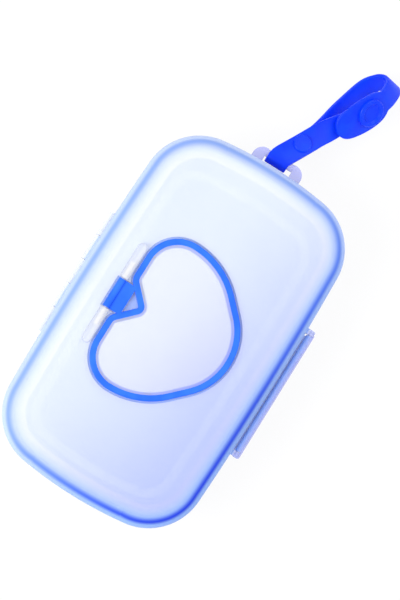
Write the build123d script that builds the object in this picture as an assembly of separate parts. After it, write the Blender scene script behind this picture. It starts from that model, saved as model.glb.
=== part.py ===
"""Travel box for baby wipes: a tray, a snap-down lid with a heart-shaped dispensing cover, and a carry strap.

Millimetres. +Z is up and the origin is the centre of the tray's underside. X runs along the box, with the strap
at +X. The lid is hinged at the back, +Y, and its latch is at the front, -Y.
"""

import math
import os

from build123d import *

# Plan outline of the box, shared by the lid's skirt and the tray's flange.
BOX_LENGTH = 178.0
BOX_WIDTH = 105.0
LONG_SIDE_RADIUS = 1600.0
SHORT_SIDE_RADIUS = 200.0
CORNER_RADIUS = 28.0

# Heights.
BOX_HEIGHT = 42.0
LID_HEIGHT = 14.7
FLANGE_THICKNESS = 2.4
PARTING_GAP = 0.3
TONGUE_HEIGHT = 6.0

# Tray.
TRAY_WALL = 1.6
TRAY_FLOOR = 1.8
TRAY_DRAFT = 5.0
TRAY_BOTTOM_RADIUS = 9.0
FLANGE_OVERHANG = 2.2
FOOT_DEPTH = 0.6
FOOT_INSET = 12.0
FOOT_WIDTH = 5.0

# Lid.
LID_WALL = 1.7
LID_PLATE = 1.8
LID_DRAFT = 2.0
LID_EDGE_RADIUS = 6.0
SEAL_WIDTH = 3.1
SEAL_HEIGHT = 3.3
SEAL_CLEARANCE = 0.2
SEAL_GAP = 0.15
RIB_WIDTH = 1.2
RIB_DEPTH = 2.2

# Lid hinge: knuckles on the back edge and one long pin.
HINGE_LENGTH = 65.0
HINGE_KNUCKLES = 5
KNUCKLE_RADIUS = 1.9
KNUCKLE_GAP = 0.3
KNUCKLE_CLEARANCE = 0.25
HINGE_AXIS_OUT = 0.1
PIN_RADIUS = 0.9
PIN_CLEARANCE = 0.05
PIN_END_INSET = 0.5
KNUCKLE_WEB_DEPTH = 4.0

# Latch at the front: a flap that hangs from two lugs on the lid.
LATCH_LENGTH = 68.5
LUG_LENGTH = 2.6
LUG_GAP = 0.3
LATCH_AXIS_OUT = 1.9
LATCH_AXIS_ABOVE_PARTING = 6.5
LATCH_BARREL_RADIUS = 1.6
LATCH_PIN_RADIUS = 0.8
LATCH_PLATE = 1.6
LATCH_DROP = 15.5
LATCH_LIP_OUT = 1.5
LATCH_LIP_HEIGHT = 4.0
LATCH_END_RADIUS = 2.6
CLAW_HEIGHT = 1.8
CLAW_CLEARANCE = 0.3
GRIP_RIBS = 3
GRIP_RIB_RADIUS = 0.5
GRIP_RIB_SPACING = 2.0
GRIP_RIB_MARGIN = 6.0

# Heart-shaped cover. Its outline is drawn from the hinge side, which is flat, to the rounded tip.
HEART_FLAT_Y = 29.2
HEART_FLAT_START = 9.8
HEART_LOBE_RADIUS = 17.0
HEART_LOBE_X = 22.0
HEART_SIDE_RADIUS = 38.0
HEART_TIP_Y = -30.1
HEART_TIP_RADIUS = 30.0
HEART_NOTCH_DEPTH = 9.6
HEART_NOTCH_RADIUS = 0.9
HEART_SHOULDER_RADIUS = 6.0
RING_WIDTH = 3.6
RING_HEIGHT = 2.2
RING_EDGE_RADIUS = 0.6
RECESS_DEPTH = 1.0
RECESS_MARGIN = 1.0
RECESS_FLOOR = 1.6
COVER_GAP = 0.15
PANEL_THICKNESS = 1.4
PANEL_LAP = 0.7
OPENING_INSET = 2.8
LIP_CLEARANCE = 0.3
LIP_WIDTH = 1.0
LIP_DEPTH = 1.7

# Hinge of the heart-shaped cover.
COVER_AXIS_Y = 32.6
COVER_AXIS_ABOVE_LID = 1.3
TAB_WIDTH = 14.8
TAB_BARREL_RADIUS = 1.8
TAB_REACH_Y = 25.2
TAB_THICKNESS = 1.7
COVER_PIN_RADIUS = 1.0
COVER_PIN_IN_BLOCK = 9.0
BLOCK_START = 7.8
BLOCK_END = 26.3
BLOCK_WIDTH = 4.6
BLOCK_ABOVE_LID = 3.4
BLOCK_EDGE_RADIUS = 1.1
BLOCK_SEAT_DEPTH = 0.6

# Loop on the end of the flange that the strap goes through, with a round bar.
LOOP_WIDTH = 26.0
LOOP_THICKNESS = 3.1
LOOP_CORNER_RADIUS = 5.2
SLOT_WIDTH = 14.6
SLOT_START_OUT = 0.3
SLOT_CORNER_RADIUS = 1.0
BAR_OUT = 5.4
BAR_RADIUS = 1.9

# Strap. Its path is drawn in its own plane, from the bar's centre outwards and above the strap's middle. The
# plane is then leaned towards the front, let down to the table and twisted.
STRAP_WIDTH = 10.8
STRAP_THICKNESS = 1.8
STRAP_SHIFT = 1.0
STRAP_LEAN = 0.583
STRAP_LEAN_LOSS = 0.0027
STRAP_LEAN_EASE = 2.0
STRAP_FALL = 0.312
STRAP_FALL_EASE = 6.0
STRAP_TWIST = 42.0
TWIST_START = 16.5
TWIST_LENGTH = 18.0
WRAP_CLEARANCE = 0.3
LAYER_H = 1.15
TAIL_POINTS = [(49.0, 5.4), (42.0, 4.6), (35.0, 3.4), (26.0, 2.0)]
BACK_POINTS = [(26.0, -3.6), (40.0, -7.2), (54.0, -8.4), (60.8, -4.6)]
FOLD_END = (62.8, 0.6)
FOLD_GAP = 0.5
TAB_POINTS = [(60.2, 5.2), (54.0, 7.8), (48.0, 8.2), (41.0, 7.5), (34.0, 6.4), (27.2, 5.4)]
BAND_SECTION_COUNT = 36
TAB_SECTION_COUNT = 26
TAB_CROWDING_EXPONENT = 1.7
TAB_FULLNESS_EXPONENT = 2.4
TAB_MIDDLE = 40.2
TAB_LENGTH = 26.2
TAB_WIDTH_MAX = 17.8
TAB_END_WIDTH = 6.0

# Rivet that closes the strap's fixed end, and the press stud that closes the loop.
RIVET_S = 11.9
RIVET_HEAD_RADIUS = 4.4
RIVET_HEAD_HEIGHT = 1.2
RIVET_BACK_RADIUS = 3.6
RIVET_POST_RADIUS = 1.6
BUTTON_S = 43.0
BUTTON_RADIUS = 6.9
BUTTON_HEIGHT = 1.6
BUTTON_DISH_RADIUS = 5.0
BUTTON_DISH_DEPTH = 0.8
BUTTON_POST_RADIUS = 1.8
STUD_RADIUS = 2.3
STUD_LENGTH = 1.9
SOCKET_FLANGE_RADIUS = 4.8
SOCKET_FLANGE = 1.1
SOCKET_SLEEVE_RADIUS = 3.6
SOCKET_CLEARANCE = 0.4
HEAD_SINK = 0.4

# Levels and places that follow from the sizes above.
HALF_LENGTH = BOX_LENGTH / 2
HALF_WIDTH = BOX_WIDTH / 2
LID_BOTTOM = BOX_HEIGHT - LID_HEIGHT
FLANGE_TOP = LID_BOTTOM - PARTING_GAP
TONGUE_TOP = FLANGE_TOP + TONGUE_HEIGHT
SEAL_BOTTOM = TONGUE_TOP + SEAL_GAP
SEAL_SEAT = SEAL_BOTTOM + SEAL_HEIGHT
SEAL_OUTER_INSET = LID_WALL + SEAL_CLEARANCE
SEAL_INNER_INSET = SEAL_OUTER_INSET + SEAL_WIDTH
RIB_OUTER_INSET = SEAL_INNER_INSET + SEAL_CLEARANCE
RIB_INNER_INSET = RIB_OUTER_INSET + RIB_WIDTH
HINGE_Y = HALF_WIDTH + HINGE_AXIS_OUT
HINGE_Z = FLANGE_TOP + PARTING_GAP / 2
LATCH_Y = -(HALF_WIDTH + LATCH_AXIS_OUT)
LATCH_Z = FLANGE_TOP + LATCH_AXIS_ABOVE_PARTING
COVER_AXIS_Z = BOX_HEIGHT + COVER_AXIS_ABOVE_LID
RECESS_Z = BOX_HEIGHT - RECESS_DEPTH
RING_Z = RECESS_Z + COVER_GAP
BAR_X = HALF_LENGTH + BAR_OUT
BAR_Z = FLANGE_TOP - LOOP_THICKNESS / 2
WRAP_RADIUS = BAR_RADIUS + WRAP_CLEARANCE + STRAP_THICKNESS / 2


def box_outline(inset=0.0):
    """Plan face of the box: four long arcs for the sides, rounded at the corners, drawn inset all round."""
    long_radius = LONG_SIDE_RADIUS - inset
    short_radius = SHORT_SIDE_RADIUS - inset
    long_centre = LONG_SIDE_RADIUS - HALF_WIDTH
    short_centre = SHORT_SIDE_RADIUS - HALF_LENGTH
    sides = Circle(long_radius).moved(Location((0, -long_centre)))
    sides &= Circle(long_radius).moved(Location((0, long_centre)))
    sides &= Circle(short_radius).moved(Location((-short_centre, 0)))
    sides &= Circle(short_radius).moved(Location((short_centre, 0)))
    return fillet(sides.vertices(), CORNER_RADIUS - inset)


def ring(outer_inset, inner_inset, low, high):
    """A wall that follows the box's outline between two insets and two heights."""
    face = box_outline(outer_inset) - box_outline(inner_inset)
    return extrude(face, high - low).moved(Location((0, 0, low)))


def rod_along_x(radius, start, end, y, z):
    """A round bar from x = start to x = end."""
    return extrude(Plane.YZ * Circle(radius), end - start).moved(Location((start, y, z)))


def block(x_low, x_high, y_low, y_high, z_low, z_high):
    """A rectangular block given by its two corners."""
    size = Box(x_high - x_low, y_high - y_low, z_high - z_low)
    return size.moved(Location(((x_low + x_high) / 2, (y_low + y_high) / 2, (z_low + z_high) / 2)))


def edges_at(solid, z):
    """The edges of a solid that lie level at one height."""
    return solid.edges().filter_by_position(Axis.Z, z - 0.01, z + 0.01)


def knuckle_spans():
    """Start and end of each hinge knuckle along X, from the left."""
    pitch = HINGE_LENGTH / HINGE_KNUCKLES
    for index in range(HINGE_KNUCKLES):
        start = -HINGE_LENGTH / 2 + index * pitch
        yield index, start + KNUCKLE_GAP / 2, start + pitch - KNUCKLE_GAP / 2


def knuckle(start, end, below):
    """One hinge knuckle with its web, which runs below or above the parting plane."""
    barrel = rod_along_x(KNUCKLE_RADIUS, start, end, HINGE_Y, HINGE_Z)
    root = HALF_WIDTH - LID_WALL
    if below:
        web = block(start, end, root, HINGE_Y, FLANGE_TOP - FLANGE_THICKNESS, FLANGE_TOP)
    else:
        web = block(start, end, root + LID_WALL / 4, HINGE_Y, LID_BOTTOM, LID_BOTTOM + KNUCKLE_WEB_DEPTH / 2)
    return barrel + web


def hinge_side(solid, below):
    """Adds every other knuckle to a shell, and clears room for the knuckles of the other shell."""
    for index, start, end in knuckle_spans():
        owned = (index % 2 == 0) == below
        if owned:
            solid += knuckle(start, end, below)
        else:
            room = KNUCKLE_RADIUS + KNUCKLE_CLEARANCE
            solid -= rod_along_x(room, start - KNUCKLE_GAP, end + KNUCKLE_GAP, HINGE_Y, HINGE_Z)
    half = HINGE_LENGTH / 2
    return solid - rod_along_x(PIN_RADIUS + PIN_CLEARANCE, -half, half, HINGE_Y, HINGE_Z)


def tapered(face, top, height):
    """A solid that narrows downwards from the face by the tray's draft."""
    return extrude(face, height, dir=(0, 0, -1), taper=TRAY_DRAFT).moved(Location((0, 0, top)))


def tray_bowl():
    """The tray's drafted wall and floor, below the flange's top."""
    outer = tapered(box_outline(FLANGE_OVERHANG), FLANGE_TOP, FLANGE_TOP)
    outer = fillet(edges_at(outer, 0), TRAY_BOTTOM_RADIUS)
    depth = FLANGE_TOP - TRAY_FLOOR
    inner = tapered(box_outline(FLANGE_OVERHANG + TRAY_WALL), FLANGE_TOP, depth)
    inner = fillet(edges_at(inner, TRAY_FLOOR), TRAY_BOTTOM_RADIUS - TRAY_WALL)
    return outer - inner


def strap_loop():
    """The flat loop on the end of the flange, whose outer side is a round bar for the strap."""
    inner_end = HALF_LENGTH - FLANGE_OVERHANG
    low = FLANGE_TOP - LOOP_THICKNESS
    outer_end = BAR_X + BAR_RADIUS
    plate = block(inner_end, outer_end, -LOOP_WIDTH / 2, LOOP_WIDTH / 2, low, FLANGE_TOP)
    corners = plate.edges().filter_by(Axis.Z).group_by(Axis.X)[-1]
    plate = fillet(corners, LOOP_CORNER_RADIUS)
    slot_start = HALF_LENGTH + SLOT_START_OUT
    slot = block(slot_start, outer_end + 1, -SLOT_WIDTH / 2, SLOT_WIDTH / 2, low - 1, FLANGE_TOP + 1)
    slot = fillet(slot.edges().filter_by(Axis.Z).group_by(Axis.X)[0], SLOT_CORNER_RADIUS)
    bar = extrude(Plane.XZ * Circle(BAR_RADIUS), SLOT_WIDTH / 2 + 1, both=True)
    return plate - slot + bar.moved(Location((BAR_X, 0, BAR_Z)))


def base_tray():
    tray = tray_bowl()
    tray += ring(FLANGE_OVERHANG, FLANGE_OVERHANG + TRAY_WALL, FLANGE_TOP, TONGUE_TOP)
    tray += ring(0, FLANGE_OVERHANG + TRAY_WALL / 2, FLANGE_TOP - FLANGE_THICKNESS, FLANGE_TOP)
    tray += strap_loop()
    tray = hinge_side(tray, below=True)
    # The underside is hollowed a little, so that the box stands on a rounded band near its edge.
    hollow = extrude(box_outline(FOOT_INSET + FOOT_WIDTH), FOOT_DEPTH)
    return tray - hollow


def lid_blank():
    """The lid's outside, before it is hollowed: a drafted skirt with a rounded upper edge."""
    height = BOX_HEIGHT - LID_BOTTOM
    blank = extrude(box_outline(), height, taper=LID_DRAFT).moved(Location((0, 0, LID_BOTTOM)))
    return fillet(edges_at(blank, BOX_HEIGHT), LID_EDGE_RADIUS)


def latch_lug(side):
    """One of the two lugs that carry the latch's pin."""
    end = LATCH_LENGTH / 2
    start = end - LUG_LENGTH
    x_low, x_high = (start, end) if side > 0 else (-end, -start)
    eye = rod_along_x(LATCH_BARREL_RADIUS, x_low, x_high, LATCH_Y, LATCH_Z)
    outer_end = eye.edges().sort_by(Axis.X)[-1 if side > 0 else 0]
    eye = fillet(outer_end, LATCH_BARREL_RADIUS / 3)
    root_y = -(HALF_WIDTH - LID_WALL)
    low, high = LATCH_Z - LATCH_BARREL_RADIUS, LATCH_Z + LATCH_BARREL_RADIUS
    return eye + block(x_low, x_high, LATCH_Y, root_y, low, high)


def lid_shell():
    lid = lid_blank()
    plate_under = BOX_HEIGHT - LID_PLATE
    lid -= extrude(box_outline(LID_WALL), SEAL_SEAT - LID_BOTTOM).moved(Location((0, 0, LID_BOTTOM)))
    lid -= extrude(box_outline(RIB_INNER_INSET), plate_under - LID_BOTTOM).moved(Location((0, 0, LID_BOTTOM)))
    lid += ring(RIB_OUTER_INSET, RIB_INNER_INSET, SEAL_SEAT - RIB_DEPTH, plate_under + LID_PLATE / 2)
    recess_under = RECESS_Z - RECESS_FLOOR
    pad = extrude(cover_recess(RECESS_FLOOR), plate_under - recess_under + LID_PLATE / 4)
    lid += pad.moved(Location((0, 0, recess_under)))
    lid -= extrude(cover_recess(), RECESS_DEPTH + 1).moved(Location((0, 0, RECESS_Z)))
    lid -= extrude(heart(OPENING_INSET), BOX_HEIGHT).moved(Location((0, 0, LID_BOTTOM)))
    for side in (-1, 1):
        lid += latch_lug(side)
        seat = pivot_block_outline(side, 0.0)
        lid -= extrude(seat, BLOCK_SEAT_DEPTH).moved(Location((0, 0, BOX_HEIGHT - BLOCK_SEAT_DEPTH)))
    half = LATCH_LENGTH / 2
    lid -= rod_along_x(LATCH_PIN_RADIUS + PIN_CLEARANCE, -half, half, LATCH_Y, LATCH_Z)
    return hinge_side(lid, below=False)


def lid_seal():
    """Soft ring in the channel under the lid's edge, which the tray's tongue presses into."""
    return ring(SEAL_OUTER_INSET, SEAL_INNER_INSET, SEAL_BOTTOM, SEAL_SEAT)


def hinge_pin():
    half = HINGE_LENGTH / 2 - PIN_END_INSET
    return rod_along_x(PIN_RADIUS, -half, half, HINGE_Y, HINGE_Z)


def latch_flap():
    """The flap: a barrel between the lugs, a plate below it, a claw inside and a lip to pull outside."""
    half = LATCH_LENGTH / 2
    between = half - LUG_LENGTH - LUG_GAP
    outer_y = LATCH_Y - LATCH_BARREL_RADIUS
    inner_y = outer_y + LATCH_PLATE
    lug_low = LATCH_Z - LATCH_BARREL_RADIUS - LUG_GAP
    low = LATCH_Z - LATCH_DROP
    lip_y = outer_y - LATCH_LIP_OUT
    with BuildSketch(Plane.YZ) as profile:
        with BuildLine():
            Polyline(
                (inner_y, lug_low),
                (inner_y, low),
                (lip_y, low),
                (lip_y, low + LATCH_LIP_HEIGHT / 2),
                (outer_y, low + LATCH_LIP_HEIGHT),
                (outer_y, lug_low),
                close=True,
            )
        make_face()
    flap = extrude(profile.sketch, LATCH_LENGTH).moved(Location((-half, 0, 0)))
    front = flap.faces().sort_by(Axis.Y)[0]
    flap = fillet(front.edges().filter_by(Axis.Z), LATCH_END_RADIUS / 2)
    flap += block(-between, between, outer_y, inner_y, lug_low - 1, LATCH_Z)
    flap += rod_along_x(LATCH_BARREL_RADIUS, -between, between, LATCH_Y, LATCH_Z)
    claw_top = FLANGE_TOP - FLANGE_THICKNESS - CLAW_CLEARANCE
    tip_y = -(HALF_WIDTH + CLAW_CLEARANCE)
    with BuildSketch(Plane.YZ) as claw:
        with BuildLine():
            Polyline(
                (inner_y - LATCH_PLATE / 2, claw_top),
                (tip_y, claw_top),
                (tip_y, claw_top - CLAW_HEIGHT / 2),
                (inner_y, claw_top - CLAW_HEIGHT),
                (inner_y - LATCH_PLATE / 2, claw_top - CLAW_HEIGHT),
                close=True,
            )
        make_face()
    flap += extrude(claw.sketch, 2 * between).moved(Location((-between, 0, 0)))
    for index in range(GRIP_RIBS):
        z = low + LATCH_LIP_HEIGHT + GRIP_RIB_SPACING * (index + 1)
        rib_end = half - GRIP_RIB_MARGIN
        flap += rod_along_x(GRIP_RIB_RADIUS, -rib_end, rib_end, outer_y, z)
    return flap - rod_along_x(LATCH_PIN_RADIUS + PIN_CLEARANCE, -half, half, LATCH_Y, LATCH_Z)


def latch_pin():
    half = LATCH_LENGTH / 2 - PIN_END_INSET
    return rod_along_x(LATCH_PIN_RADIUS, -half, half, LATCH_Y, LATCH_Z)


def heart(inset=0.0):
    """The heart's plan face: two flats and a notch on the hinge side, and a rounded tip at the front."""
    lobe_y = HEART_FLAT_Y - HEART_LOBE_RADIUS
    lobe_end = HEART_LOBE_X + HEART_LOBE_RADIUS
    notch_y = HEART_FLAT_Y - HEART_NOTCH_DEPTH
    side_x = lobe_end - HEART_SIDE_RADIUS
    tip_y = HEART_TIP_Y + HEART_TIP_RADIUS
    # The straight part touches the side arc and the tip arc, and this is its lean below the X axis.
    reach = math.hypot(side_x, lobe_y - tip_y)
    lean = math.asin((HEART_SIDE_RADIUS - HEART_TIP_RADIUS) / reach) + math.atan2(side_x, lobe_y - tip_y)
    side_end = (side_x + HEART_SIDE_RADIUS * math.cos(lean), lobe_y - HEART_SIDE_RADIUS * math.sin(lean))
    tip_start = (HEART_TIP_RADIUS * math.cos(lean), tip_y - HEART_TIP_RADIUS * math.sin(lean))
    with BuildSketch() as half:
        with BuildLine():
            Line((0, notch_y), (HEART_FLAT_START, HEART_FLAT_Y))
            Line((HEART_FLAT_START, HEART_FLAT_Y), (HEART_LOBE_X, HEART_FLAT_Y))
            RadiusArc((HEART_LOBE_X, HEART_FLAT_Y), (lobe_end, lobe_y), HEART_LOBE_RADIUS)
            RadiusArc((lobe_end, lobe_y), side_end, HEART_SIDE_RADIUS)
            Line(side_end, tip_start)
            RadiusArc(tip_start, (0, HEART_TIP_Y), HEART_TIP_RADIUS)
            Line((0, HEART_TIP_Y), (0, notch_y))
        make_face()
    whole = half.sketch + mirror(half.sketch, Plane.YZ)
    notch = whole.vertices().filter_by_position(Axis.X, -0.01, 0.01).sort_by(Axis.Y)[-1]
    whole = fillet(notch, HEART_NOTCH_RADIUS)
    reach = HEART_FLAT_START + 0.01
    level = whole.vertices().filter_by_position(Axis.Y, HEART_FLAT_Y - 0.01, HEART_FLAT_Y + 0.01)
    whole = fillet(level.filter_by_position(Axis.X, -reach, reach), HEART_SHOULDER_RADIUS)
    return offset(whole, -inset, kind=Kind.ARC) if inset else whole


def cover_recess(margin=0.0):
    """Plan of the recess that the cover and its hinge tab lie in."""
    grown = offset(heart(), RECESS_MARGIN + margin, kind=Kind.ARC)
    half = TAB_WIDTH / 2 + RECESS_MARGIN / 2 + margin
    top = COVER_AXIS_Y + TAB_BARREL_RADIUS + RECESS_MARGIN + margin
    low = HEART_FLAT_Y - HEART_NOTCH_DEPTH
    return grown + Rectangle(2 * half, top - low).moved(Location((0, (top + low) / 2)))


def cover_panel():
    """The frosted heart-shaped panel, which laps over the soft ring's inner edge."""
    top = RING_Z + RING_HEIGHT
    face = heart(RING_WIDTH - PANEL_LAP)
    return extrude(face, PANEL_THICKNESS).moved(Location((0, 0, top - PANEL_THICKNESS)))


def cover_ring():
    """The soft ring round the panel, with the lip that plugs the opening and the hinge tab."""
    top = RING_Z + RING_HEIGHT
    solid_heart = extrude(heart(), RING_HEIGHT).moved(Location((0, 0, RING_Z)))
    solid_heart = fillet(edges_at(solid_heart, top), RING_EDGE_RADIUS)
    body = solid_heart - extrude(heart(RING_WIDTH), RING_HEIGHT).moved(Location((0, 0, RING_Z)))
    lip_outer = OPENING_INSET + LIP_CLEARANCE
    lip_inner = lip_outer + LIP_WIDTH
    under = RING_Z + RING_HEIGHT - PANEL_THICKNESS
    flange = extrude(heart(RING_WIDTH) - heart(lip_inner), under - RING_Z)
    flange = flange.moved(Location((0, 0, RING_Z)))
    lip = extrude(heart(lip_outer) - heart(lip_inner), LIP_DEPTH)
    lip = lip.moved(Location((0, 0, RING_Z - LIP_DEPTH)))
    half = TAB_WIDTH / 2
    tab = block(-half, half, TAB_REACH_Y, COVER_AXIS_Y, top - TAB_THICKNESS, top)
    barrel = rod_along_x(TAB_BARREL_RADIUS, -half, half, COVER_AXIS_Y, COVER_AXIS_Z)
    whole = body + flange + lip + tab + barrel - cover_panel()
    return whole - rod_along_x(COVER_PIN_RADIUS + PIN_CLEARANCE, -half, half, COVER_AXIS_Y, COVER_AXIS_Z)


def pivot_block_outline(side, clearance):
    """Plan of one bearing block of the cover's hinge: a slot shape, square at its inner end."""
    length = BLOCK_END - BLOCK_START
    face = Rectangle(length + 2 * clearance, BLOCK_WIDTH + 2 * clearance)
    outer = face.vertices().group_by(Axis.X)[-1]
    face = fillet(outer, BLOCK_WIDTH / 2 - 0.1)
    face = face.moved(Location(((BLOCK_START + BLOCK_END) / 2, COVER_AXIS_Y)))
    return face if side > 0 else mirror(face, Plane.YZ)


def pivot_block(side):
    """One clear bearing block, seated in a shallow pocket in the lid."""
    low = BOX_HEIGHT - BLOCK_SEAT_DEPTH
    solid = extrude(pivot_block_outline(side, 0.0), BLOCK_SEAT_DEPTH + BLOCK_ABOVE_LID)
    solid = solid.moved(Location((0, 0, low)))
    solid = fillet(edges_at(solid, BOX_HEIGHT + BLOCK_ABOVE_LID), BLOCK_EDGE_RADIUS)
    reach = BLOCK_START + COVER_PIN_IN_BLOCK
    start, end = (BLOCK_START - 1, reach) if side > 0 else (-reach, -BLOCK_START + 1)
    return solid - rod_along_x(COVER_PIN_RADIUS + PIN_CLEARANCE, start, end, COVER_AXIS_Y, COVER_AXIS_Z)


def cover_pin():
    half = BLOCK_START + COVER_PIN_IN_BLOCK - PIN_END_INSET
    return rod_along_x(COVER_PIN_RADIUS, -half, half, COVER_AXIS_Y, COVER_AXIS_Z)


def eased(s, start, ease):
    """Zero up to a start, and then a smooth run up to the full slope."""
    run = max(0.0, s - start)
    return run * run / (run + ease)


def strap_place(s, h):
    """A point of the strap's plane in the box's frame, and the direction across the strap there."""
    lean = eased(s, 0.0, STRAP_LEAN_EASE)
    fall = eased(s, BAR_RADIUS, STRAP_FALL_EASE)
    share = min(1.0, max(0.0, (s - TWIST_START) / TWIST_LENGTH))
    twist = math.radians(STRAP_TWIST) * share * share * (3 - 2 * share)
    side = STRAP_SHIFT - (STRAP_LEAN - STRAP_LEAN_LOSS * lean) * lean
    middle = Vector(BAR_X + s, side, BAR_Z - STRAP_FALL * fall)
    normal = Vector(0, -math.sin(twist), math.cos(twist))
    across = Vector(0, -math.cos(twist), -math.sin(twist))
    return middle + normal * h, across


def plane_across(path, share):
    """The plane across the strap at a share of its path: x across its width, y through its thickness."""
    step = 0.002
    here = path @ share
    before, after = path @ max(0.0, share - step), path @ min(1.0, share + step)
    point, across = strap_place(here.X, here.Y)
    tangent = strap_place(after.X, after.Y)[0] - strap_place(before.X, before.Y)[0]
    return Plane(origin=point, x_dir=across, z_dir=tangent)


def plane_on(s, h, slope):
    """The plane that lies along a layer of the strap, with z out of its upper side."""
    step = 0.5
    point, across = strap_place(s, h)
    ahead = strap_place(s + step, h + slope * step)[0]
    behind = strap_place(s - step, h - slope * step)[0]
    tangent = ahead - behind
    return Plane(origin=point, x_dir=tangent, z_dir=across.cross(tangent))


def band_path():
    """From the free end under the tab, round the bar and back to the far end of the fold."""
    corner = WRAP_RADIUS * math.sqrt(0.5)
    wrap = [(0, WRAP_RADIUS), (-corner, corner), (-WRAP_RADIUS, 0), (-corner, -corner), (0, -WRAP_RADIUS)]
    points = TAIL_POINTS + [(RIVET_S, LAYER_H)] + wrap + [(RIVET_S, -LAYER_H)] + BACK_POINTS + [FOLD_END]
    return Spline(*points, tangents=[(-1, -0.1), (0, 1)])


def tab_path():
    """From the far end of the fold, over the top to the tab's tip."""
    return Spline(FOLD_END, *TAB_POINTS, tangents=[(0, 1), (-1, -0.15)])


def sweep_strap(path, count, width_at, gap=0.0, crowding=1.0):
    """A strap of changing width, lofted through rectangles that may crowd towards its end."""
    first = gap / path.length
    sections = []
    for index in range(count + 1):
        share = first + (1 - first) * (1 - (1 - index / count) ** crowding)
        width = width_at((path @ share).X)
        sections.append(plane_across(path, share) * Rectangle(width, STRAP_THICKNESS))
    return loft(sections)


def tab_width(s):
    """Width of the tab: an oval that runs out into the plain strap."""
    share = (s - TAB_MIDDLE) / (TAB_LENGTH / 2)
    room = max(0.0, 1 - abs(share) ** TAB_FULLNESS_EXPONENT)
    oval = TAB_WIDTH_MAX * room ** (1 / TAB_FULLNESS_EXPONENT)
    return max(oval, STRAP_WIDTH) if s > TAB_MIDDLE else max(oval, TAB_END_WIDTH)


def height_at(path, s, near):
    """Height and slope of a path where it passes s, close to a share of its length."""
    shares = [near + (index - 100) / 1000 for index in range(200)]
    best = min(shares, key=lambda share: abs((path @ share).X - s))
    before, after = path @ (best - 0.005), path @ (best + 0.005)
    return (path @ best).Y, (after.Y - before.Y) / (after.X - before.X)


def button_seat():
    """The plane of the press stud, on the tab's middle."""
    height, slope = height_at(tab_path(), BUTTON_S, 0.62)
    return plane_on(BUTTON_S, height, slope)


def socket_seat():
    """The same plane, moved down to the middle of the strap's free end."""
    seat = button_seat()
    tail = strap_place(BUTTON_S, height_at(band_path(), BUTTON_S, 0.1)[0])[0]
    return seat.offset((tail - seat.origin).dot(seat.z_dir))


def strap_rivet():
    """Low domed head on the front layer, post through both layers and a flat back."""
    seat = plane_on(RIVET_S, 0, 0)
    top = LAYER_H + STRAP_THICKNESS / 2 - HEAD_SINK
    head = Cylinder(RIVET_HEAD_RADIUS, RIVET_HEAD_HEIGHT + HEAD_SINK)
    head = head.moved(Location((0, 0, top + (RIVET_HEAD_HEIGHT + HEAD_SINK) / 2)))
    head = fillet(head.edges().sort_by(Axis.Z)[-1], RIVET_HEAD_HEIGHT * 0.6)
    back = Cylinder(RIVET_BACK_RADIUS, RIVET_HEAD_HEIGHT)
    back = back.moved(Location((0, 0, -top - RIVET_HEAD_HEIGHT / 2)))
    post = Cylinder(RIVET_POST_RADIUS, 2 * top)
    return seat * (head + back + post)


def snap_button():
    """Dished cap on the tab, with a post through it and a stud that plugs into the socket."""
    skin = STRAP_THICKNESS / 2
    tall = BUTTON_HEIGHT + HEAD_SINK
    cap = Cylinder(BUTTON_RADIUS, tall)
    cap = fillet(cap.edges().sort_by(Axis.Z)[-1], BUTTON_DISH_DEPTH)
    dish = Cone(BUTTON_DISH_RADIUS - BUTTON_DISH_DEPTH, BUTTON_DISH_RADIUS, BUTTON_DISH_DEPTH)
    cap -= dish.moved(Location((0, 0, (tall - BUTTON_DISH_DEPTH) / 2)))
    cap = cap.moved(Location((0, 0, skin - HEAD_SINK + tall / 2)))
    post = Cylinder(BUTTON_POST_RADIUS, 2 * skin)
    stud = Cylinder(STUD_RADIUS, STUD_LENGTH).moved(Location((0, 0, -skin - STUD_LENGTH / 2)))
    return button_seat() * (cap + post + stud)


def snap_socket():
    """Ring in the strap's free end that the stud plugs into, with a flange on the hidden side."""
    skin = STRAP_THICKNESS / 2
    sleeve = Cylinder(SOCKET_SLEEVE_RADIUS, 2 * skin)
    flange = Cylinder(SOCKET_FLANGE_RADIUS, SOCKET_FLANGE + HEAD_SINK)
    flange = flange.moved(Location((0, 0, HEAD_SINK - skin - (SOCKET_FLANGE + HEAD_SINK) / 2)))
    hole = Cylinder(STUD_RADIUS + SOCKET_CLEARANCE, 4 * skin + 2 * SOCKET_FLANGE)
    return socket_seat() * (sleeve + flange - hole)


def strap_band():
    band = sweep_strap(band_path(), BAND_SECTION_COUNT, lambda s: STRAP_WIDTH)
    plug = Cylinder(SOCKET_SLEEVE_RADIUS, 2 * STRAP_THICKNESS)
    return band - strap_rivet() - snap_socket() - socket_seat() * plug


def strap_tab():
    tab = sweep_strap(tab_path(), TAB_SECTION_COUNT, tab_width, FOLD_GAP, TAB_CROWDING_EXPONENT)
    return tab - snap_button()


def main():
    os.makedirs("parts", exist_ok=True)
    pieces = {
        "base_tray": base_tray(),
        "lid_shell": lid_shell(),
        "lid_seal": lid_seal(),
        "hinge_pin": hinge_pin(),
        "latch_flap": latch_flap(),
        "latch_pin": latch_pin(),
        "cover_panel": cover_panel(),
        "cover_ring": cover_ring(),
        "cover_pin": cover_pin(),
        "pivot_block_left": pivot_block(-1),
        "pivot_block_right": pivot_block(1),
        "strap_band": strap_band(),
        "strap_tab": strap_tab(),
        "strap_rivet": strap_rivet(),
        "snap_button": snap_button(),
        "snap_socket": snap_socket(),
    }
    for name, piece in pieces.items():
        export_step(piece, f"parts/{name}.step")
        print(name, round(piece.volume, 1), "mm3")


if __name__ == "__main__":
    main()
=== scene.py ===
"""Finishes and stages the wipes travel box: frosted shells, soft blue parts, clear fittings and its strap."""

import functools
import math

import bmesh
import bpy
from mathutils import Matrix, Vector


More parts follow.
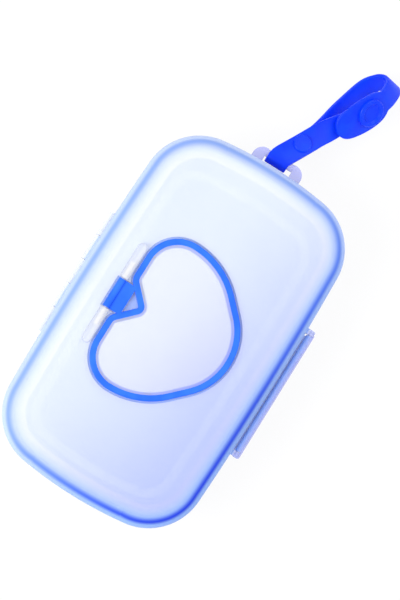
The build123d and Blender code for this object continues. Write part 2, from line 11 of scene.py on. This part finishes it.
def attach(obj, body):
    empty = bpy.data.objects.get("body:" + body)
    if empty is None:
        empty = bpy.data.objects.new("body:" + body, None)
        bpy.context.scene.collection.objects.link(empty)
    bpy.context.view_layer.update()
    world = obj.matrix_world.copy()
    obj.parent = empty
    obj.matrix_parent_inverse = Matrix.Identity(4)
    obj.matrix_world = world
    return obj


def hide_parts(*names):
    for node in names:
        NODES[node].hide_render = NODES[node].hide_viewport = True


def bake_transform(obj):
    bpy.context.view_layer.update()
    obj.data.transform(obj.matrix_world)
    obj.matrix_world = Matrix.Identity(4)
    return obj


bl_info = {
    "name": "Wipes Travel Box",
    "version": (1, 0, 0),
    "blender": (4, 5, 0),
    "location": "View3D > Sidebar > Wipes Box",
    "description": "Finishes a travel box for baby wipes and lights it for a picture",
    "category": "Object",
}

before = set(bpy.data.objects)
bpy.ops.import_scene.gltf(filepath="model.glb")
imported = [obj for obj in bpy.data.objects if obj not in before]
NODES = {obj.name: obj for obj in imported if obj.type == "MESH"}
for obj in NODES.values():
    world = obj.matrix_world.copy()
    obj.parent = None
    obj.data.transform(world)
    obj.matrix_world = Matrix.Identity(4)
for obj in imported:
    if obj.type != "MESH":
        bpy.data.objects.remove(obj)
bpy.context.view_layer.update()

# The strap's path in its own plane, as in the part's source: metres out from the loop's bar, and above
# its middle. It runs from the free end round the bar, back out to the fold, and into the oval tab.
BAR_CENTRE = Vector((0.0944, 0.0, 0.02545))
BAR_RADIUS = 0.0019
WRAP_RADIUS = 0.0031
WRAP_CORNER = WRAP_RADIUS * math.sqrt(0.5)
TAIL_PATH = [(0.0490, 0.0054), (0.0420, 0.0046), (0.0350, 0.0034), (0.0260, 0.0020), (0.0119, 0.00115)]
WRAP_PATH = [(0.0, WRAP_RADIUS), (-WRAP_CORNER, WRAP_CORNER), (-WRAP_RADIUS, 0.0),
             (-WRAP_CORNER, -WRAP_CORNER), (0.0, -WRAP_RADIUS)]
BACK_PATH = [(0.0119, -0.00115), (0.0260, -0.0036), (0.0400, -0.0072)]
FOLD_PATH = [(0.0540, -0.0084), (0.0608, -0.0046), (0.0628, 0.0006), (0.0602, 0.0052)]
TAB_PATH = [(0.0540, 0.0078), (0.0480, 0.0082), (0.0410, 0.0075), (0.0340, 0.0064), (0.0272, 0.0054)]

# How that plane is bent: sideways towards the front, down to the table, and twisted about its length.
STRAP_SHIFT = 0.001
STRAP_LEAN = 0.583
STRAP_LEAN_LOSS = 2.7
STRAP_LEAN_EASE = 0.002
STRAP_FALL = 0.312
STRAP_FALL_EASE = 0.006
STRAP_TWIST = math.radians(42.0)
TWIST_START = 0.0165
TWIST_LENGTH = 0.018

# The oval tab: how far out from the bar its middle lies, and how full its ends are (2 would be an ellipse).
TAB_MIDDLE = 0.0402
TAB_HALF_LENGTH = 0.0131
TAB_FULLNESS = 2.4

# The strap's mesh: steps between two points of its path, points round its section, and the weld's reach.
PATH_STEPS = 8
SECTION_POINTS = 20
WELD_REACH = 0.000002

# The box's outline in plan, as in the part's source, for the blue that the seal lends the lid's edge.
HALF_LENGTH = 0.0890
HALF_WIDTH = 0.0525
SHORT_SIDE_RADIUS = 0.200
LONG_SIDE_RADIUS = 1.600
CORNER_RADIUS = 0.0280
# Rounds of the search for the centre of a corner's arc.
CORNER_ROUNDS = 20

# Insets from that outline: the seal's line starts, is full and has ebbed, and the pale rim has ended.
SEAL_INSETS = (0.0017, 0.0034, 0.0060, 0.0112)
# Knuckles and lugs lie outside the outline and stay free of the rim's blue.
RIM_INSETS = (-0.0008, -0.0002)
# Heights of the recess round the heart, whose walls are painted the seal's pale blue: painted light, lighter
# than the shade that falls there.
WELL_FLOOR, WELL_TOP = 0.0411, 0.0416
# The latch's outer face, where the seal's painted blue light on the latch's top has ebbed out, and the run in
# x over which the tray's end gives way to the strap's loop.
LATCH_FACE = -0.0572
LOOP_ROOT = (0.0890, 0.0898)

# Painted shade: the shells' blue deepens along a slanting line towards the latch's side.
SHADE_SLANT = 0.35
SHADE_RUN = (-0.080, 0.035)

# Shares of each blue: its least share, and what the painted shade adds to it.
PAINTED_SHADE_SHARE = 0.75
RIM_SHARE, RIM_SHARE_ADDED = 0.58, 0.4
LINE_SHARE, LINE_SHARE_ADDED = 0.50, 0.5
RECESS_LIGHT_SHARE = 0.8
RIM_BODY_ADDED = 0.25

# Grain of the finishes: noise scales in cycles to a metre, and the spans of noise that are put to use.
NOISE_SPAN = (0.3, 0.7)
WIDE_SPAN = (0.25, 0.75)
DRIFT_SCALE = 14.0
GRAIN_SCALE = 2600.0
BLOOM_SCALE = 90.0
PORES_SCALE = 3200.0
FLOW_SCALE = (18.0, 240.0, 240.0)
WIRE_SCALE = (60.0, 3000.0, 3000.0)
SHELL_BODY_SPREAD = 0.04
CLEAR_BODY_SPREAD = 0.05

# What the noise takes from each finish's roughness and adds to it, and each skin's bump: strength and depth.
SHELL_ROUGHNESS_SPREAD = (-0.04, 0.05)
RUBBER_ROUGHNESS_SPREAD = (-0.05, 0.06)
CLEAR_ROUGHNESS_SPREAD = 0.08
SHELL_BUMP = (0.10, 0.0002)
RUBBER_BUMP = (0.12, 0.0001)
CLEAR_BUMP = (0.15, 0.0003)

# Roughness of each finish, and how much of what lies behind them the clear ones hide.
RING_ROUGHNESS = 0.42
BUTTON_ROUGHNESS = 0.30
STRAP_ROUGHNESS = 0.40
LATCH_ROUGHNESS, LATCH_BODY = 0.16, 0.6
BLOCK_ROUGHNESS, BLOCK_BODY = 0.06, 0.34
WIRE_ROUGHNESS = (0.18, 0.34)
WIRE_TONE = (0.72, 0.73, 0.75, 1.0)

# A colour mix node's sockets go by number, because several of them share a name.
MIX_FIRST, MIX_SECOND, MIX_RESULT = 6, 7, 2

# The studio: a bright paper floor, white air, and lamps with their place, size and power.
WHITE = (1.0, 1.0, 1.0, 1.0)
FLOOR_REACH = 3.0
FLOOR_TONE = (0.93, 0.93, 0.94, 1.0)
FLOOR_ROUGHNESS = 0.9
FLOOR_GLOW_SHARE = 0.9
AIR_STRENGTH = 0.66
LAMPS = (("key", (-0.55, 0.55, 0.95), 0.7, 12.0), ("fill", (0.75, -0.45, 0.8), 0.9, 4.5))

# The photograph's view, worked out from the box's outline.
VIEW_TURN = math.radians(57.94)
VIEW_TILT = math.radians(1.08)
VIEW_ROLL = math.radians(3.07)
VIEW_DISTANCE = 1.0
VIEW_TARGET = Vector((0.0, 0.0, 0.034))
VIEW_LENS = 130.1
VIEW_SHIFT = (0.0433, 0.0523)
VIEW_SENSOR = 36.0
VIEW_REACH = 20.0


class Shade:
    """A shader socket or a number that takes part in plain arithmetic and adds its Math nodes."""

    def __init__(self, paint, value):
        self.paint = paint
        self.value = value

    def _with(self, operation, *operands):
        return self.paint.node("ShaderNodeMath", {"operation": operation}, dict(enumerate(operands)))

    def __add__(self, other):
        return self._with("ADD", self, other)

    def __radd__(self, other):
        return self._with("ADD", other, self)

    def __sub__(self, other):
        return self._with("SUBTRACT", self, other)

    def __rsub__(self, other):
        return self._with("SUBTRACT", other, self)

    def __mul__(self, other):
        return self._with("MULTIPLY", self, other)

    def __gt__(self, other):
        return self._with("GREATER_THAN", self, other)

    def __abs__(self):
        return self._with("ABSOLUTE", self)

    def least(self, other):
        return self._with("MINIMUM", self, other)

    def root(self):
        return self._with("SQRT", self)


class Paint:
    """A new material whose nodes are added one call at a time."""

    def __init__(self, name):
        self.material = bpy.data.materials.new(name)
        self.material.use_nodes = True
        self.tree = self.material.node_tree
        self.shader = self.tree.nodes["Principled BSDF"]

    def node(self, kind, settings, sockets, output=0):
        """Adds a node, with its settings first and then the values or links of its sockets."""
        made = self.tree.nodes.new(kind)
        for name, value in settings.items():
            setattr(made, name, value)
        for key, value in sockets.items():
            self.feed(made.inputs[key], value)
        return Shade(self, made.outputs[output])

    def feed(self, socket, value):
        """Links a shade to a socket, or sets the socket's own value."""
        if isinstance(value, Shade):
            self.tree.links.new(value.value, socket)
        else:
            socket.default_value = value

    def set(self, **values):
        """Sets the surface shader's own sockets; an underscore stands for a space in a socket's name."""
        for name, value in values.items():
            self.feed(self.shader.inputs[name.replace("_", " ")], value)

    def where(self):
        """Object coordinates, which are the box's own metres."""
        return self.node("ShaderNodeTexCoord", {}, {}, "Object")

    def noise(self, scale, detail=2.0, roughness=0.5):
        """Noise of the same scale in every direction."""
        sockets = {"Vector": self.where(), "Scale": scale, "Detail": detail, "Roughness": roughness}
        return self.node("ShaderNodeTexNoise", {}, sockets)

    def streaks(self, scale):
        """Noise with a scale of its own along each axis."""
        stretched = self.node("ShaderNodeMapping", {}, {"Vector": self.where(), "Scale": scale})
        return self.node("ShaderNodeTexNoise", {}, {"Vector": stretched, "Scale": 1.0, "Detail": 2.0})

    def fit(self, value, low, high, to_low, to_high):
        """Maps a range of values smoothly to another."""
        sockets = {"Value": value, "From Min": low, "From Max": high, "To Min": to_low, "To Max": to_high}
        return self.node("ShaderNodeMapRange", {"interpolation_type": "SMOOTHSTEP"}, sockets)

    def blend(self, share, first, second):
        """A colour between two colours."""
        sockets = {"Factor": share, MIX_FIRST: first, MIX_SECOND: second}
        return self.node("ShaderNodeMix", {"data_type": "RGBA"}, sockets, MIX_RESULT)

    def along(self, axis):
        """One coordinate of the box's own metres."""
        return self.node("ShaderNodeSeparateXYZ", {}, {"Vector": self.where()}, axis)

    def inset(self):
        """How far a point lies inside the box's outline, seen from above."""
        x, y = abs(self.along("X")), abs(self.along("Y"))
        end_run, side_run = x + (SHORT_SIDE_RADIUS - HALF_LENGTH), y + (LONG_SIDE_RADIUS - HALF_WIDTH)
        end = SHORT_SIDE_RADIUS - (end_run * end_run + y * y).root()
        side = LONG_SIDE_RADIUS - (side_run * side_run + x * x).root()
        straight = end.least(side)
        corner_x, corner_y = corner_centre()
        dx, dy = x - corner_x, y - corner_y
        corner = CORNER_RADIUS - (dx * dx + dy * dy).root()
        share = (x > corner_x) * (y > corner_y)
        return straight + share * (corner - straight)

    def bump(self, height, strength, depth):
        """Roughens the skin by a shade, to a depth in metres."""
        sockets = {"Height": height, "Strength": strength, "Distance": depth}
        self.set(Normal=self.node("ShaderNodeBump", {}, sockets))


def corner_centre():
    """Centre of the outline's corner arc, which touches a long side's arc and a short side's from inside."""
    end_reach, side_reach = SHORT_SIDE_RADIUS - CORNER_RADIUS, LONG_SIDE_RADIUS - CORNER_RADIUS
    x = HALF_LENGTH - CORNER_RADIUS
    for _ in range(CORNER_ROUNDS):
        y = math.sqrt(side_reach * side_reach - x * x) - (LONG_SIDE_RADIUS - HALF_WIDTH)
        x = math.sqrt(end_reach * end_reach - y * y) - (SHORT_SIDE_RADIUS - HALF_LENGTH)
    return x, y


def cover(material, *names):
    """Gives a finish to the frame's own pieces."""
    for name in names:
        for holder in NODES[name].material_slots:
            holder.material = material


def colour(values):
    """A setting's colour as a socket takes it."""
    return (values[0], values[1], values[2], 1.0)


def frosted_plastic(name, tone, shade, painted_shade_blue, roughness, body, seal=None, deep=None, glow=None, fitting=None):
    """Moulded plastic with a fine etched grain, a little clearer or duller from place to place.

    The lid also shows the seal's blues through its edge, and the tray the fittings' tone on its loop. The
    blue deepens towards the latch's side as painted shade, and the recess round the heart takes painted
    light.
    """
    paint = Paint(name)
    drift = paint.noise(DRIFT_SCALE, 3.0)
    grain = paint.noise(GRAIN_SCALE, 2.0, 0.6)
    tint = paint.blend(paint.fit(drift, *NOISE_SPAN, 0.0, 1.0), colour(tone), colour(shade))
    rough = paint.fit(grain, *WIDE_SPAN, *(roughness + part for part in SHELL_ROUGHNESS_SPREAD))
    cloud = paint.fit(drift, *WIDE_SPAN, body - SHELL_BODY_SPREAD, body + SHELL_BODY_SPREAD)
    # Painted shade: a share that grows along a slanting line towards the latch's side and deepens the blue
    # there.
    depth = paint.fit(paint.along("Y") + paint.along("X") * SHADE_SLANT, *SHADE_RUN, 1.0, 0.0)
    tint = paint.blend(depth * PAINTED_SHADE_SHARE, tint, colour(painted_shade_blue))
    if seal is not None:
        inset = paint.inset()
        near, full, ebb, gone = SEAL_INSETS
        line = paint.fit(inset, near, full, 0.0, 1.0) * paint.fit(inset, full, ebb, 1.0, 0.0)
        rim = paint.fit(inset, full, gone, 1.0, 0.0) * paint.fit(inset, *RIM_INSETS, 0.0, 1.0)
        # Painted light: the walls of the recess round the heart are painted pale blue, lighter than the shade
        # that falls in them.
        recess_light = paint.fit(paint.along("Z"), WELL_FLOOR, WELL_TOP, 1.0, 0.0) * (inset > gone)
        # Painted shade: the seal's line runs to a deeper blue towards the latch's side, and there the rim and
        # the line take a larger share.
        edge_blue = paint.blend(depth, colour(seal), colour(deep))
        tint = paint.blend(rim * (RIM_SHARE + depth * RIM_SHARE_ADDED), tint, colour(glow))
        tint = paint.blend(line * (LINE_SHARE + depth * LINE_SHARE_ADDED), tint, edge_blue)
        tint = paint.blend(recess_light * RECESS_LIGHT_SHARE, tint, colour(glow))
        cloud = cloud + rim * RIM_BODY_ADDED
    if fitting is not None:
        edge = paint.fit(paint.along("X"), *LOOP_ROOT, 0.0, 1.0)
        tint = paint.blend(edge, tint, colour(fitting))
        rough = rough * (1.0 - edge * 0.5)
    paint.set(Base_Color=tint, Roughness=rough, Alpha=cloud, IOR=1.45)
    paint.bump(grain, *SHELL_BUMP)
    return paint.material


def soft_rubber(name, tone, deep, roughness):
    """Soft moulded rubber: an even satin skin with a faint bloom and fine pores."""
    paint = Paint(name)
    bloom = paint.noise(BLOOM_SCALE, 3.0)
    pores = paint.noise(PORES_SCALE, 2.0)
    paint.set(
        Base_Color=paint.blend(paint.fit(bloom, *NOISE_SPAN, 0.0, 1.0), colour(deep), colour(tone)),
        Roughness=paint.fit(bloom, *NOISE_SPAN, *(roughness + part for part in RUBBER_ROUGHNESS_SPREAD)),
        Specular_IOR_Level=0.2,
        Coat_Weight=0.04,
        Coat_Roughness=0.3,
        IOR=1.42,
    )
    paint.bump(pores, *RUBBER_BUMP)
    return paint.material


def clear_plastic(name, tone, roughness, body, near=None):
    """Clear moulded plastic with faint flow lines along its length, and painted blue light from the seal next
    to the box.
    """
    paint = Paint(name)
    flow = paint.streaks(FLOW_SCALE)
    tint = colour(tone)
    if near is not None:
        # Painted light: the seal's blue cast on the latch's top, strongest next to the box.
        tint = paint.blend(paint.fit(paint.along("Y"), LATCH_FACE, -HALF_WIDTH, 0.0, 1.0), tint, colour(near))
    paint.set(
        Base_Color=tint,
        Roughness=paint.fit(flow, *NOISE_SPAN, roughness, roughness + CLEAR_ROUGHNESS_SPREAD),
        Alpha=paint.fit(flow, *NOISE_SPAN, body - CLEAR_BODY_SPREAD, body + CLEAR_BODY_SPREAD),
        IOR=1.49,
    )
    paint.bump(flow, *CLEAR_BUMP)
    return paint.material


def bright_pin(name):
    """Drawn steel wire with fine lines round it."""
    paint = Paint(name)
    rough = paint.fit(paint.streaks(WIRE_SCALE), *NOISE_SPAN, *WIRE_ROUGHNESS)
    paint.set(Base_Color=WIRE_TONE, Metallic=1.0, Roughness=rough)
    return paint.material


def eased(s, start, ease):
    """Zero up to a start, and then a smooth run up to the full slope."""
    run = max(0.0, s - start)
    return run * run / (run + ease)


def strap_place(s, h):
    """A point of the strap's plane in the box's frame, and the direction across the strap there."""
    lean = eased(s, 0.0, STRAP_LEAN_EASE)
    share = min(1.0, max(0.0, (s - TWIST_START) / TWIST_LENGTH))
    twist = STRAP_TWIST * share * share * (3 - 2 * share)
    side = STRAP_SHIFT - (STRAP_LEAN - STRAP_LEAN_LOSS * lean) * lean
    middle = BAR_CENTRE + Vector((s, side, -STRAP_FALL * eased(s, BAR_RADIUS, STRAP_FALL_EASE)))
    normal = Vector((0.0, -math.sin(twist), math.cos(twist)))
    return middle + normal * h, Vector((0.0, -math.cos(twist), -math.sin(twist)))


def smooth_path(points, steps):
    """Points on a curve through the path's points, in steps that crowd towards its far end."""
    padded = [points[0]] + points + [points[-1]]
    smooth = []
    for index in range(len(points) - 1):
        before, here, ahead, after = (Vector(point) for point in padded[index:index + 4])
        last = index == len(points) - 2
        for step in range(2 * steps if last else steps):
            t = 1 - (1 - step / (2 * steps)) ** 2 if last else step / steps
            smooth.append(0.5 * (2 * here + (ahead - before) * t
                                 + (2 * before - 5 * here + 4 * ahead - after) * t * t
                                 + (3 * here - before - 3 * ahead + after) * t * t * t))
    smooth.append(Vector(points[-1]))
    return smooth


def strap_stations(points):
    """A frame across the strap at each point of its path: x across its width, y through it, z along it."""
    stations = []
    for index, here in enumerate(points):
        before, after = points[max(0, index - 1)], points[min(len(points) - 1, index + 1)]
        place, across = strap_place(here.x, here.y)
        along = strap_place(after.x, after.y)[0] - strap_place(before.x, before.y)[0]
        along.normalize()
        across = (across - along * across.dot(along)).normalized()
        through = along.cross(across)
        turn = Matrix((across, through, along)).transposed().to_4x4()
        stations.append(Matrix.Translation(place) @ turn)
    return stations


def swept_strap(name, stations, half_widths, thickness, edge, material):
    """Wraps a grid round a flat section with rounded edges, and closes both ends."""
    mesh = bpy.data.meshes.new(name)
    piece = bpy.data.objects.new(name, mesh)
    bpy.context.collection.objects.link(piece)
    shape = bmesh.new()
    last = len(stations) - 1
    bmesh.ops.create_grid(shape, x_segments=last, y_segments=SECTION_POINTS, size=1.0)
    for corner in shape.verts:
        index = round((corner.co.x + 1) / 2 * last)
        turn = math.pi * (corner.co.y + 1 + 1 / SECTION_POINTS)
        across, up = math.cos(turn), math.sin(turn)
        half = half_widths[index](edge * (1 - abs(across)))
        level = math.copysign(thickness / 2 - edge, up) + edge * up
        corner.co = stations[index] @ Vector((math.copysign(half, across), level, 0.0))
    bmesh.ops.remove_doubles(shape, verts=shape.verts, dist=WELD_REACH)
    rims = [side for side in shape.edges if side.is_boundary]
    bmesh.ops.holes_fill(shape, edges=rims)
    for side in rims:
        side.smooth = False
    bmesh.ops.recalc_face_normals(shape, faces=shape.faces)
    for face in shape.faces:
        face.smooth = True
    shape.to_mesh(mesh)
    shape.free()
    mesh.materials.append(material)
    return piece


def length_setting(name, description, default, low, high):
    """A length among the settings, in metres."""
    return bpy.props.FloatProperty(
        name=name, description=description, default=default, min=low, max=high, unit="LENGTH")


def share_setting(name, description, default, low, high):
    """A share among the settings."""
    return bpy.props.FloatProperty(
        name=name, description=description, default=default, min=low, max=high, subtype="FACTOR")


def tone_setting(name, description, default):
    """A colour among the settings."""
    return bpy.props.FloatVectorProperty(
        name=name, description=description, default=default, min=0, max=1, subtype="COLOR")


class WipesBoxSettings(bpy.types.PropertyGroup):
    """Sizes and colours of the box's finish."""

    strap_width: length_setting("Strap Width", "Width of the carry strap", 0.0108, 0.006, 0.02)
    strap_thickness: length_setting("Strap Thickness", "Thickness of the carry strap", 0.0018, 0.001, 0.004)
    strap_edge: length_setting(
        "Strap Edge", "Radius of the carry strap's moulded edges", 0.0005, 0.0001, 0.0009)
    tab_width: length_setting(
        "Tab Width", "Width of the oval tab that carries the press stud", 0.0178, 0.012, 0.025)
    shell_tone: tone_setting("Shell", "Light tone of the frosted shells", (0.92, 0.96, 1.0))
    shell_shade: tone_setting("Shell Shade", "Deeper tone of the frosted shells", (0.88, 0.92, 1.0))
    # Painted shade: the blue that the shells take on towards the latch's side.
    shell_painted_shade: tone_setting(
        "Shell Painted Shade", "Blue tone that the shells take on towards the latch side", (0.36, 0.42, 0.98))
    shell_roughness: share_setting("Frosting", "How dull the frosted shells are", 0.42, 0.1, 0.8)
    shell_body: share_setting(
        "Cloudiness", "How much of what lies behind them the frosted shells hide", 0.5, 0.05, 1)
    panel_body: share_setting(
        "Panel Cloudiness", "How much of what lies behind it the heart-shaped panel hides", 0.38, 0.05, 1)
    seal_line: tone_setting(
        "Seal Line", "Blue line where the seal's edge shows through the lid", (0.04, 0.24, 0.95))
    # Painted shade: the seal's line drawn a deeper blue towards the front corner.
    seal_line_painted_shade: tone_setting(
        "Seal Line Painted Shade", "Deeper blue of that line towards the front corner", (0.01, 0.05, 0.85))
    # This blue also serves as painted light in the recess round the heart and on the latch's top next to the
    # box.
    seal_glow: tone_setting("Seal Glow", "Pale blue that the seal lends the lid's rim", (0.28, 0.48, 1.0))
    fitting_tone: tone_setting("Fittings", "Lilac tone of the latch and the strap's loop", (0.50, 0.53, 1.0))
    block_tone: tone_setting(
        "Hinge Blocks", "Tone of the clear blocks that carry the cover", (1.0, 1.0, 1.0))
    ring_tone: tone_setting(
        "Ring Blue", "Lighter tone of the seal and the heart-shaped ring", (0.030, 0.17, 0.95))
    ring_deep: tone_setting(
        "Ring Blue Shade", "Deeper tone of the seal and the heart-shaped ring", (0.020, 0.13, 0.93))
    soft_tone: tone_setting("Soft Blue", "Colour of the strap and its buttons", (0.003, 0.055, 0.94))
    soft_deep: tone_setting(
        "Soft Blue Shade", "Deeper tone of the strap and its buttons", (0.002, 0.035, 0.86))


class WIPESBOX_OT_shells(bpy.types.Operator):
    """Frost the tray, the lid and the heart-shaped panel"""

    bl_idname = "wipesbox.shells"
    bl_label = "Frosted Shells"

    def execute(self, context):
        look = context.scene.wipes_box
        tones = (look.shell_tone, look.shell_shade, look.shell_painted_shade, look.shell_roughness)
        body = look.shell_body
        blues = {"seal": look.seal_line, "deep": look.seal_line_painted_shade, "glow": look.seal_glow}
        cover(frosted_plastic("frosted lid", *tones, body, **blues), "lid_shell")
        cover(frosted_plastic("frosted panel", *tones, look.panel_body), "cover_panel")
        cover(frosted_plastic("frosted tray", *tones, body, fitting=look.fitting_tone), "base_tray")
        return {"FINISHED"}


class WIPESBOX_OT_soft_parts(bpy.types.Operator):
    """Give the seal, the heart-shaped ring and the strap's buttons their soft blue finish"""

    bl_idname = "wipesbox.soft_parts"
    bl_label = "Soft Blue Parts"

    def execute(self, context):
        look = context.scene.wipes_box
        soft = soft_rubber("soft blue", look.ring_tone, look.ring_deep, RING_ROUGHNESS)
        button = soft_rubber("moulded blue", look.soft_tone, look.soft_deep, BUTTON_ROUGHNESS)
        cover(soft, "lid_seal", "cover_ring")
        cover(button, "strap_rivet", "snap_button", "snap_socket")
        return {"FINISHED"}


class WIPESBOX_OT_fittings(bpy.types.Operator):
    """Finish the latch flap, the clear hinge blocks and the steel pins"""

    bl_idname = "wipesbox.fittings"
    bl_label = "Latch and Hinges"

    def execute(self, context):
        look = context.scene.wipes_box
        # The latch's top takes the seal's pale blue next to the box as painted light.
        lilac = clear_plastic(
            "lilac latch", look.fitting_tone, LATCH_ROUGHNESS, LATCH_BODY, near=look.seal_glow)
        clear = clear_plastic("clear block", look.block_tone, BLOCK_ROUGHNESS, BLOCK_BODY)
        cover(lilac, "latch_flap")
        cover(clear, "pivot_block_left", "pivot_block_right", "cover_pin")
        cover(bright_pin("drawn steel"), "hinge_pin", "latch_pin")
        return {"FINISHED"}


class WIPESBOX_OT_strap(bpy.types.Operator):
    """Build the carry strap: the band round the loop's bar, and the fold that ends in the oval tab"""

    bl_idname = "wipesbox.strap"
    bl_label = "Carry Strap"

    def execute(self, context):
        look = context.scene.wipes_box
        soft = soft_rubber("strap blue", look.soft_tone, look.soft_deep, STRAP_ROUGHNESS)

        whole = smooth_path(TAIL_PATH + WRAP_PATH + BACK_PATH + FOLD_PATH + TAB_PATH, PATH_STEPS)
        frames = strap_stations(whole)
        join = PATH_STEPS * len(TAIL_PATH + WRAP_PATH + BACK_PATH)
        band = swept_strap("carry_strap_band", frames[:join + 1], [self.plain] * (join + 1),
                           look.strap_thickness, look.strap_edge, soft)
        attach(band, "strap")
        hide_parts("strap_band")

        halves = [functools.partial(self.oval, point.x) for point in whole[join:]]
        tab = swept_strap("carry_strap_tab", frames[join:], halves,
                          look.strap_thickness, look.strap_edge, soft)
        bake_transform(tab)
        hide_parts("strap_tab")
        return {"FINISHED"}

    def plain(self, inset):
        """Half of the strap's width, drawn inset."""
        return bpy.context.scene.wipes_box.strap_width / 2 - inset

    def oval(self, s, inset):
        """Half of the width at s of the oval tab, which runs out into the plain strap, drawn inset."""
        share = min(1.0, abs(s - TAB_MIDDLE) / (TAB_HALF_LENGTH - inset))
        half = bpy.context.scene.wipes_box.tab_width / 2 - inset
        oval = half * (1.0 - share ** TAB_FULLNESS) ** (1 / TAB_FULLNESS)
        return max(oval, self.plain(inset)) if s > TAB_MIDDLE else oval


class WIPESBOX_OT_stage(bpy.types.Operator):
    """Set up the floor, the soft studio light and the camera"""

    bl_idname = "wipesbox.stage"
    bl_label = "Stage"

    def execute(self, context):
        scene = context.scene
        scene.view_settings.view_transform = "Standard"

        ground = bpy.data.meshes.new("floor")
        floor = bpy.data.objects.new("floor", ground)
        scene.collection.objects.link(floor)
        shape = bmesh.new()
        bmesh.ops.create_grid(shape, x_segments=1, y_segments=1, size=FLOOR_REACH)
        shape.to_mesh(ground)
        shape.free()
        paper = Paint("white paper")
        paper.set(Base_Color=FLOOR_TONE, Roughness=FLOOR_ROUGHNESS)
        seen = paper.node("ShaderNodeLightPath", {}, {}, "Is Camera Ray")
        passed = paper.node("ShaderNodeLightPath", {}, {}, "Is Transmission Ray")
        glow = paper.node("ShaderNodeEmission", {}, {"Color": WHITE, "Strength": 1.0})
        share = paper.fit(seen + passed, 0.0, 1.0, 0.0, FLOOR_GLOW_SHARE)
        plain = Shade(paper, paper.shader.outputs[0])
        mixed = paper.node("ShaderNodeMixShader", {}, {0: share, 1: plain, 2: glow})
        paper.feed(paper.tree.nodes["Material Output"].inputs["Surface"], mixed)
        ground.materials.append(paper.material)

        world = bpy.data.worlds.new("studio")
        scene.world = world
        world.use_nodes = True
        air = world.node_tree.nodes["Background"]
        air.inputs["Color"].default_value = WHITE
        air.inputs["Strength"].default_value = AIR_STRENGTH

        for lamp in LAMPS:
            self.lamp(*lamp)
        self.camera(scene)
        return {"FINISHED"}

    def lamp(self, name, place, size, power):
        """A square soft light turned to the box."""
        data = bpy.data.lights.new(name, "AREA")
        data.size = size
        data.energy = power
        light = bpy.data.objects.new(name, data)
        bpy.context.collection.objects.link(light)
        light.location = place
        light.rotation_euler = (VIEW_TARGET - Vector(place)).to_track_quat("-Z", "Y").to_euler()

    def camera(self, scene):
        """The photograph's view: nearly straight down, with the strap to the upper right."""
        data = bpy.data.cameras.new("camera")
        data.lens = VIEW_LENS
        data.sensor_width = VIEW_SENSOR
        data.shift_x, data.shift_y = VIEW_SHIFT
        data.clip_end = VIEW_REACH
        eye = bpy.data.objects.new("camera", data)
        scene.collection.objects.link(eye)
        turn = Matrix.Rotation(VIEW_TURN, 3, "Z") @ Matrix.Rotation(VIEW_TILT, 3, "X")
        turn = (turn @ Matrix.Rotation(VIEW_ROLL, 3, "Y")).transposed()
        place = VIEW_TARGET + turn @ Vector((0.0, 0.0, VIEW_DISTANCE))
        eye.matrix_world = Matrix.Translation(place) @ turn.to_4x4()
        scene.camera = eye


class WIPESBOX_PT_panel(bpy.types.Panel):
    """Lists the box's sizes and colours, and a button for each step that finishes it"""

    bl_idname = "WIPESBOX_PT_panel"
    bl_label = "Wipes Travel Box"
    bl_space_type = "VIEW_3D"
    bl_region_type = "UI"
    bl_category = "Wipes Box"

    def draw(self, context):
        look = context.scene.wipes_box
        for name in WipesBoxSettings.__annotations__:
            self.layout.prop(look, name)
        for step in STEPS:
            self.layout.operator(step.bl_idname)


STEPS = (
    WIPESBOX_OT_shells,
    WIPESBOX_OT_soft_parts,
    WIPESBOX_OT_fittings,
    WIPESBOX_OT_strap,
    WIPESBOX_OT_stage,
)


def register():
    for kind in (WipesBoxSettings, *STEPS, WIPESBOX_PT_panel):
        bpy.utils.register_class(kind)
    bpy.types.Scene.wipes_box = bpy.props.PointerProperty(type=WipesBoxSettings)


def unregister():
    del bpy.types.Scene.wipes_box
    for kind in (WIPESBOX_PT_panel, *reversed(STEPS), WipesBoxSettings):
        bpy.utils.unregister_class(kind)


def main():
    register()
    bpy.ops.wipesbox.shells()
    bpy.ops.wipesbox.soft_parts()
    bpy.ops.wipesbox.fittings()
    bpy.ops.wipesbox.strap()
    bpy.ops.wipesbox.stage()


if __name__ == "__main__":
    main()
